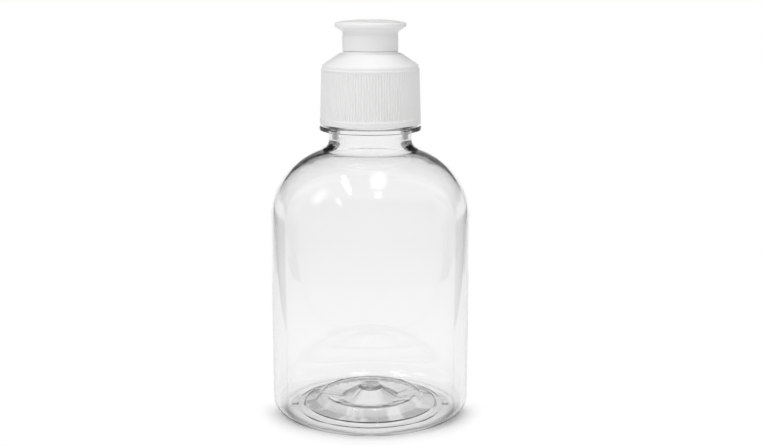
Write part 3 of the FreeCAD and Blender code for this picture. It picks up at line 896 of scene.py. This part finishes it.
def cap_sections(sizes):
    """The cap's outline: up the skirt, over the cone and tower, and back down inside."""
    skirt_top = SEAT_LEVEL + DECK_RISE
    rib_foot = SKIRT_FOOT + BAND_HEIGHT
    rib_top = skirt_top - TOP_BAND_HEIGHT
    upstand = sizes.top_radius - SHOULDER_STEP
    ledge = cone_ledge(sizes)
    collar = SPOUT_FOOT - COLLAR_GAP
    roof = ledge - CONE_WALL
    roof_edge = CONE_TOP_RADIUS + (CONE_WALL - CONE_DROP) / CONE_SLOPE
    seat_edge = CAP_BORE - SEAT_WIDTH
    seat_cone = ledge - CONE_SLOPE * (seat_edge - CONE_TOP_RADIUS) - CONE_DROP
    bead_foot = SPOUT_FOOT + SPOUT_BEAD_HEIGHT + TOWER_BEAD_LIFT
    tower_top = bead_foot + TOWER_BEAD_HEIGHT
    bead = TOWER_RADIUS + TOWER_BEAD
    band_top = sizes.band_radius - RIB_SINK
    grip_foot, grip_top = rib_foot + GRIP_START, rib_top - GRIP_END
    grip_low, grip_high = band_top - GRIP_INSET, sizes.top_radius - RIB_SINK
    bore_top, bore_foot = SEAT_LEVEL - SEAT_PLAIN, SKIRT_FOOT + MOUTH_PLAIN
    foot_band = [
        (CAP_BORE + MOUTH_CHAMFER, SKIRT_FOOT, 0),
        (sizes.band_radius, SKIRT_FOOT, SOFT),
        (sizes.band_radius, rib_foot, SHARP),
        (band_top - BAND_SLOPE[0], rib_foot + BAND_SLOPE[1], CRISP),
        (grip_low, grip_foot, 0),
    ]
    ribbed = divided(rounded([(grip_low, grip_foot, 0), (grip_high, grip_top, 0)]), GRIP_ROWS)
    above = [
        (grip_high, grip_top, 0),
        (grip_high, rib_top, HAIR),
        (sizes.top_radius, rib_top + TOP_BAND_SLOPE, HAIR),
        (sizes.top_radius, skirt_top, LIGHT),
        (upstand, skirt_top, FINE),
        (upstand, skirt_top + SHOULDER_UPSTAND, SHOULDER_ROUND),
        (CONE_TOP_RADIUS, ledge, SOFT),
        (COLLAR_FOOT_RADIUS, ledge, SHARP),
        (COLLAR_TOP_RADIUS, collar, LIGHT),
        (TOWER_RADIUS, collar, SOFT),
        (TOWER_RADIUS, bead_foot, CRISP),
        (bead, bead_foot + TOWER_BEAD_FOOT, LIGHT),
        (bead, tower_top - TOWER_BEAD_TOP, EASED),
        (TOWER_RADIUS - TOWER_TIP_INSET, tower_top, EASED),
        (TOWER_BORE, tower_top, SOFT),
        (TOWER_BORE, roof, SHARP),
        (roof_edge, roof, CONE_HOLLOW),
        (seat_edge, seat_cone, BROAD),
        (seat_edge, SEAT_LEVEL, FINE),
        (CAP_BORE, SEAT_LEVEL, FULL),
        (CAP_BORE, bore_top, 0),
    ]
    bore = rounded([(CAP_BORE, bore_top, 0), (CAP_BORE, bore_foot, 0)], THREAD_ROW)
    mouth = [
        (CAP_BORE, bore_foot, 0),
        (CAP_BORE, SKIRT_FOOT + MOUTH_CHAMFER, SHARP),
        (CAP_BORE + MOUTH_CHAMFER, SKIRT_FOOT, 0),
    ]
    thread = ridge(SKIRT_FOOT - CAP_GAP + THREAD_START - THREAD_DROP, CAP_THREAD_HEIGHT, -1)
    return [
        (rounded(foot_band)[:-1], CAP_SEGMENTS, None),
        (ribbed, sizes.rib_count * SAMPLES_PER_RIB, grip(sizes, grip_foot, grip_top)),
        (rounded(above)[1:-1], CAP_SEGMENTS, None),
        (bore, CAP_SEGMENTS, thread),
        (rounded(mouth)[1:-1], CAP_SEGMENTS, None),
    ]


def divided(samples, shares):
    """A straight run's samples at these shares of its length."""
    start, end = np.array(samples[0]), np.array(samples[-1])
    return [tuple(start + (end - start) * share) for share in shares]


def post_samples(roof):
    """The centre post whose tip stops the orifice."""
    taper_top = SPOUT_TOP - CROWN_RISE - SPOUT_ROOF - POST_SHOULDER_GAP
    return rounded([
        (0, roof, 0),
        (POST_RADIUS, roof, SHARP),
        (POST_RADIUS, taper_top - POST_TAPER, POST_TAPER_ROUND),
        (POST_TIP_RADIUS, taper_top, POST_TAPER_ROUND),
        (POST_TIP_RADIUS, POST_TOP, FULL),
        (0, POST_TOP, 0),
    ])


def post_web(name, roof, angle):
    """A web between the tower's bore and the post."""
    reach, width, height = WEB_SIZE
    low = (POST_RADIUS - WEB_OVERLAP, -width / 2, roof)
    high = (reach, width / 2, roof + height)
    return block(name, low, high, LIGHT, segments=2, angle=angle)


def spout_sections(sizes):
    """The spout's outline: up the sleeve, over the flange and crown, down the orifice and back."""
    waist_foot = SPOUT_FOOT + WAIST_LEVEL
    flange_foot = SPOUT_FOOT + FLANGE_LEVEL
    flange_top = flange_foot + FLANGE_THICKNESS
    passage_roof = flange_top - SPOUT_ROOF
    waist = sizes.radius - WAIST_STEP
    sleeve_foot = SPOUT_FOOT + SLEEVE_RISE
    bead_top = SPOUT_FOOT + SPOUT_BEAD_HEIGHT
    run = CROWN_EDGE_RADIUS - CROWN_FLAT_RADIUS
    dome_drop = sizes.crown_rise * CROWN_DOME
    dome_foot = SPOUT_TOP - dome_drop
    dome_radius = (run ** 2 + dome_drop ** 2) / (2 * dome_drop)
    dome_turn = math.asin(run / dome_radius)
    outside = rounded([
        (SPOUT_BEAD_RADIUS, SPOUT_FOOT, 0),
        (sizes.radius, SPOUT_FOOT, FULL),
        (sizes.radius, waist_foot, WAIST_ROUND),
        (waist, waist_foot + WAIST_SLOPE, WAIST_ROUND),
        (waist, SPOUT_FOOT + FLARE_LEVEL, FLARE_ROUND),
        (sizes.flange_radius, flange_foot, FIRM),
        (sizes.flange_radius, flange_top, FLANGE_ROUND),
        (CROWN_EDGE_RADIUS, flange_top, SHARP),
        (CROWN_EDGE_RADIUS, dome_foot, CRISP),
        (CROWN_EDGE_RADIUS - CROWN_START, dome_foot + CROWN_START * math.tan(dome_turn), 0),
    ])
    crown = arc((CROWN_FLAT_RADIUS, SPOUT_TOP - dome_radius), dome_radius,
                math.pi - dome_turn, math.pi, DOME_ARC_STEP)
    inside = rounded([
        (CROWN_FLAT_RADIUS, SPOUT_TOP, 0),
        (ORIFICE_RADIUS, SPOUT_TOP, EASED),
        (ORIFICE_RADIUS, passage_roof, SHARP),
        (SLEEVE_BORE, passage_roof, FULL),
        (SLEEVE_BORE, sleeve_foot, EASED),
        (SLEEVE_RADIUS, sleeve_foot, EASED),
        (SLEEVE_RADIUS, passage_roof, SHARP),
        (SPOUT_BORE, passage_roof, DEEP),
        (SPOUT_BORE, bead_top + SPOUT_BEAD_SLOPE, SHARP),
        (SPOUT_BEAD_RADIUS, bead_top, SHARP),
        (SPOUT_BEAD_RADIUS, SPOUT_FOOT, 0),
    ])
    return [(outside[:-1] + crown[:-1] + inside[:-1], SPOUT_SEGMENTS, None)]


def finish(piece, body, material):
    """Puts a material on a piece and has it ride on its body."""
    piece.data.materials.clear()
    piece.data.materials.append(material)
    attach(piece, body)


class BOTTLE_OT_body(Operator):
    """Builds the clear bottle with its push-up base, support ring and screw finish"""

    bl_idname = "bottle.body"
    bl_label = "Bottle"

    def execute(self, context):
        sizes = context.scene.bottle_sizes
        glass = clear_plastic(context.scene.bottle_finishes)
        body = turned("blown_bottle", bottle_sections(sizes), closed=False)
        finish(body, "bottle", glass)
        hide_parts("bottle")
        for name, side in (("base_lug_left", -1), ("base_lug_right", 1)):
            finish(lug(name, sizes, side), "bottle", glass)
        return {"FINISHED"}


class BOTTLE_OT_cap(Operator):
    """Builds the screw cap with its ribs, cone, tower, post and webs"""

    bl_idname = "bottle.cap"
    bl_label = "Screw cap"

    def execute(self, context):
        sizes = context.scene.cap_sizes
        plastic = moulded_plastic("cap_plastic", context.scene.bottle_finishes)
        shell = turned("ribbed_cap", cap_sections(sizes), closed=True)
        finish(shell, "cap", plastic)
        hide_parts("screw_cap")
        roof = cone_ledge(sizes) - CONE_WALL
        post = turned("centre_post", [(post_samples(roof), POST_SEGMENTS, None)], closed=False)
        finish(post, "cap", plastic)
        for index in range(WEB_COUNT):
            web = post_web(f"post_web_{index + 1}", roof, 2 * math.pi * index / WEB_COUNT)
            finish(web, "cap", plastic)
        return {"FINISHED"}


class BOTTLE_OT_spout(Operator):
    """Builds the pull-up spout with its flange, crown and orifice"""

    bl_idname = "bottle.spout"
    bl_label = "Pull-up spout"

    def execute(self, context):
        plastic = moulded_plastic("spout_plastic", context.scene.bottle_finishes)
        spout = turned("pull_up_spout", spout_sections(context.scene.spout_sizes), closed=True)
        finish(spout, "spout", plastic)
        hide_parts("pull_spout")
        return {"FINISHED"}


class BOTTLE_OT_washer(Operator):
    """Gives the sealing washer its foam"""

    bl_idname = "bottle.washer"
    bl_label = "Sealing washer"

    def execute(self, context):
        foam = washer_foam(context.scene.bottle_finishes)
        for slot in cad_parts["sealing_washer"].material_slots:
            slot.material = foam
        return {"FINISHED"}


# ---------------------------------------------------------------- stage


def bearing(tree, across, along):
    """Distance from the upright axis, and how far behind the bottle a place or direction is."""
    away = radius_of(tree, across, along)
    return away, maths(tree, "DIVIDE", along, maths(tree, "MAXIMUM", away, AXIS_EYE))


def rays(tree):
    """Masks of what the camera sees itself, and of what glass and gloss show it."""
    path = tree.nodes.new("ShaderNodeLightPath")
    return path.outputs["Is Camera Ray"], greatest(tree, path.outputs["Is Glossy Ray"],
                                                   path.outputs["Is Transmission Ray"])


def floor_lift(tree, studio, away, facing):
    """How far the floor's own shade is lifted to white: all the way, except by the bottle's foot."""
    shadow = times(tree, between(tree, away, *SHADOW_RADII), between(tree, facing, *SHADOW_BEARINGS))
    shadow = times(tree, shadow, raised(tree, 1.0, SHADOW_FRONT_SHARE, between(tree, facing, *SHADOW_FRONT)))
    standing = between(tree, away, *STANDING_RADII)
    return raised(tree, maths(tree, "SUBTRACT", 1.0, shadow), studio.floor_lift, standing)


def floor_glow(tree, studio, across, along):
    """What glass and gloss see of the floor: a white sheet, the bright front, and a dim room between them."""
    away, facing = bearing(tree, across, along)
    side = maths(tree, "ABSOLUTE", across)
    edge = maths(tree, "SUBTRACT", side, times(tree, along, studio.sheet_flare))
    far = greatest(tree, maths(tree, "SUBTRACT", away, SHEET_BLUR_START), 0.0)
    blur = maths(tree, "ADD", SHEET_BLUR, times(tree, far, SHEET_BLUR_GROWTH))
    past_edge = maths(tree, "DIVIDE", maths(tree, "SUBTRACT", edge, studio.sheet_width), blur)
    fall = raised(tree, 1.0, SHEET_EDGE_SHARE, between(tree, edge, 0.0, studio.sheet_width))
    sheet = times(tree, between(tree, past_edge, 1.0, -1.0), fall)
    line = maths(tree, "SUBTRACT", along, times(tree, side, studio.front_slope))
    ahead = between(tree, line, *FRONT_EDGE)
    front = raised(tree, studio.room_front, FRONT_NEAR_LIGHT, between(tree, away, *FRONT_NEAR))
    front = raised(tree, front, FLOOR_SIDE_SHARE * studio.room_side, between(tree, facing, *BESIDE))
    distant = times(tree, between(tree, away, *FAR_FLOOR), between(tree, facing, *FAR_BEARINGS))
    sheet = times(tree, sheet, maths(tree, "SUBTRACT", 1.0, ahead))
    rest = raised(tree, studio.room_dark, FAR_LIGHT, distant)
    return greatest(tree, sheet, times(tree, ahead, front), rest)


def floor_material(studio):
    """The pale floor: white to the eye but for the bottle's shadow, and to glass a studio's floor."""
    material, tree, output = new_material("studio_floor")
    matt = add(tree, "ShaderNodeBsdfDiffuse", Color=(*studio.floor, 1))
    white = add(tree, "ShaderNodeEmission", Strength=1.0)
    black = add(tree, "ShaderNodeEmission", Strength=0.0)
    straight, reflected = rays(tree)
    across, along, _ = coordinates(tree, "Object")
    lift = floor_lift(tree, studio, *bearing(tree, across, along))
    shown = times(tree, greatest(tree, straight, reflected), lift)
    eye = mixed(tree, shown, matt.outputs[0], white.outputs[0])
    hidden = times(tree, reflected, maths(tree, "SUBTRACT", 1.0, floor_glow(tree, studio, across, along)))
    tree.links.new(mixed(tree, hidden, eye, black.outputs[0]), output.inputs["Surface"])
    return material


def room_glow(tree, studio, across, along, up):
    """What glass and gloss see of the room: a backdrop, dark drapes, and light in front and overhead."""
    _, facing = bearing(tree, across, along)
    backdrop = times(tree, between(tree, facing, *BACKDROP_BEARINGS), between(tree, up, *BACKDROP_TOP))
    ahead = raised(tree, studio.room_front, studio.room_side, between(tree, facing, *BESIDE))
    front = times(tree, between(tree, facing, *FRONT_BEARINGS), ahead)
    folds = add(tree, "ShaderNodeTexNoise", Scale=9.0, Detail=2.0, Roughness=0.6)
    place = tree.nodes.new("ShaderNodeTexCoord")
    tree.links.new(place.outputs["Generated"], folds.inputs["Vector"])
    darkest, lightest = (share * studio.room_dark for share in DRAPE_SHARES)
    drapes = raised(tree, darkest, lightest, between(tree, folds.outputs["Fac"], *DRAPE_CUTS))
    skirting = times(tree, between(tree, up, *SKIRTING_TOP), between(tree, facing, *SKIRTING_BEARINGS))
    skirting = times(tree, skirting, FAR_LIGHT)
    overhead = times(tree, between(tree, up, *OVERHEAD_LEVELS), studio.room_top)
    return greatest(tree, backdrop, drapes, front, skirting, overhead)


def background(tree, strength):
    """A white world background at this strength."""
    node = add(tree, "ShaderNodeBackground", Color=(1, 1, 1, 1))
    tree.links.new(strength, node.inputs["Strength"])
    return node.outputs[0]


def surround(scene, studio):
    """White for the eye, an even room for light, and for glass and gloss a room with a white backdrop."""
    world = bpy.data.worlds.new("studio")
    scene.world = world
    world.use_nodes = True
    tree = world.node_tree
    tree.nodes.clear()
    output = tree.nodes.new("ShaderNodeOutputWorld")
    straight, reflected = rays(tree)
    across, along, up = coordinates(tree, "Generated")
    glow = room_glow(tree, studio, across, along, up)
    light = raised(tree, studio.room, studio.room_behind, between(tree, along, *BEHIND))
    room = mixed(tree, reflected, background(tree, light), background(tree, glow))
    white = add(tree, "ShaderNodeBackground", Color=(1, 1, 1, 1), Strength=1.0)
    tree.links.new(mixed(tree, straight, room, white.outputs[0]), output.inputs["Surface"])


def light_panel(name, place, target, size, radiance, soft):
    """A rectangular lamp at a place, turned to a target; its brightness doesn't change with its size.

    Soft is how far in from its edges the lamp fades, as a share of its size. Without it, nothing reflects it.
    """
    data = bpy.data.lights.new(name, "AREA")
    data.shape = "RECTANGLE"
    data.size, data.size_y = size
    data.energy = radiance * size[0] * size[1] * math.pi
    lamp = bpy.data.objects.new(name, data)
    lamp.location = place
    aim = Vector(target or (*place[:2], 0)) - Vector(place)
    lamp.rotation_euler = aim.to_track_quat("-Z", "Y").to_euler()
    lamp.visible_glossy = soft is not None
    lamp.visible_transmission = soft is not None
    bpy.context.collection.objects.link(lamp)
    if soft:
        soften(data, soft)


def soften(data, soft):
    """Fades a lamp towards its four edges."""
    data.use_nodes = True
    tree = data.node_tree
    face = tree.nodes.new("ShaderNodeNewGeometry")
    split = tree.nodes.new("ShaderNodeSeparateXYZ")
    tree.links.new(face.outputs["Parametric"], split.inputs[0])
    fades = []
    for share in split.outputs[:2]:
        off_middle = maths(tree, "ABSOLUTE", maths(tree, "SUBTRACT", share, 0.5))
        fades.append(between(tree, off_middle, 0.5, 0.5 - soft))
    glow = tree.nodes.new("ShaderNodeEmission")
    tree.links.new(times(tree, *fades), glow.inputs["Strength"])
    output = next(node for node in tree.nodes if node.type == "OUTPUT_LIGHT")
    tree.links.new(glow.outputs[0], output.inputs["Surface"])


class BOTTLE_OT_stage(Operator):
    """Sets out the floor, the soft lamps, the white surround and the camera"""

    bl_idname = "bottle.stage"
    bl_label = "Stage"

    def execute(self, context):
        studio = context.scene.bottle_studio
        scene = context.scene
        scene.view_settings.view_transform = "Standard"
        corners = [(-FLOOR_REACH, -FLOOR_REACH, 0), (FLOOR_REACH, -FLOOR_REACH, 0),
                   (FLOOR_REACH, FLOOR_REACH, 0), (-FLOOR_REACH, FLOOR_REACH, 0)]
        floor = made("studio_floor", corners, [(0, 1, 2, 3)])
        floor.data.materials.append(floor_material(studio))
        surround(scene, studio)
        for lamp in LAMPS:
            light_panel(*lamp)
        camera = bpy.data.objects.new("camera", bpy.data.cameras.new("camera"))
        camera.data.lens = LENS
        camera.data.shift_x = FRAME_SHIFT
        camera.data.clip_start = NEAR_CLIP
        camera.location = (0, -studio.camera_distance, studio.camera_height)
        camera.rotation_euler = (math.pi / 2 - studio.camera_pitch, 0, 0)
        context.collection.objects.link(camera)
        scene.camera = camera
        return {"FINISHED"}


# ---------------------------------------------------------------- sidebar


class BOTTLE_PT_sidebar(Panel):
    """Sizes, finishes and build steps"""

    bl_idname = "BOTTLE_PT_sidebar"
    bl_label = "Push-Pull Bottle"
    bl_space_type = "VIEW_3D"
    bl_region_type = "UI"
    bl_category = "Bottle"

    def draw(self, context):
        for label, group in (("Bottle", "bottle_sizes"), ("Cap", "cap_sizes"), ("Spout", "spout_sizes"),
                             ("Finishes", "bottle_finishes"), ("Studio", "bottle_studio")):
            box = self.layout.box()
            box.label(text=label)
            values = getattr(context.scene, group)
            for name in values.__annotations__:
                box.prop(values, name)
        for step in STEPS:
            self.layout.operator(step.bl_idname)


GROUPS = {"bottle_sizes": BottleSizes, "cap_sizes": CapSizes, "spout_sizes": SpoutSizes,
          "bottle_finishes": Finishes, "bottle_studio": Studio}
STEPS = (BOTTLE_OT_body, BOTTLE_OT_washer, BOTTLE_OT_cap, BOTTLE_OT_spout, BOTTLE_OT_stage)


def register():
    for group in GROUPS.values():
        bpy.utils.register_class(group)
    for name, group in GROUPS.items():
        setattr(bpy.types.Scene, name, PointerProperty(type=group))
    for step in STEPS:
        bpy.utils.register_class(step)
    bpy.utils.register_class(BOTTLE_PT_sidebar)


def unregister():
    bpy.utils.unregister_class(BOTTLE_PT_sidebar)
    for step in reversed(STEPS):
        bpy.utils.unregister_class(step)
    for name, group in reversed(GROUPS.items()):
        delattr(bpy.types.Scene, name)
        bpy.utils.unregister_class(group)


def main():
    register()
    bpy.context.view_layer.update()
    bpy.ops.bottle.body()
    bpy.ops.bottle.washer()
    bpy.ops.bottle.cap()
    bpy.ops.bottle.spout()
    bpy.ops.bottle.stage()


if __name__ == "__main__":
    main()
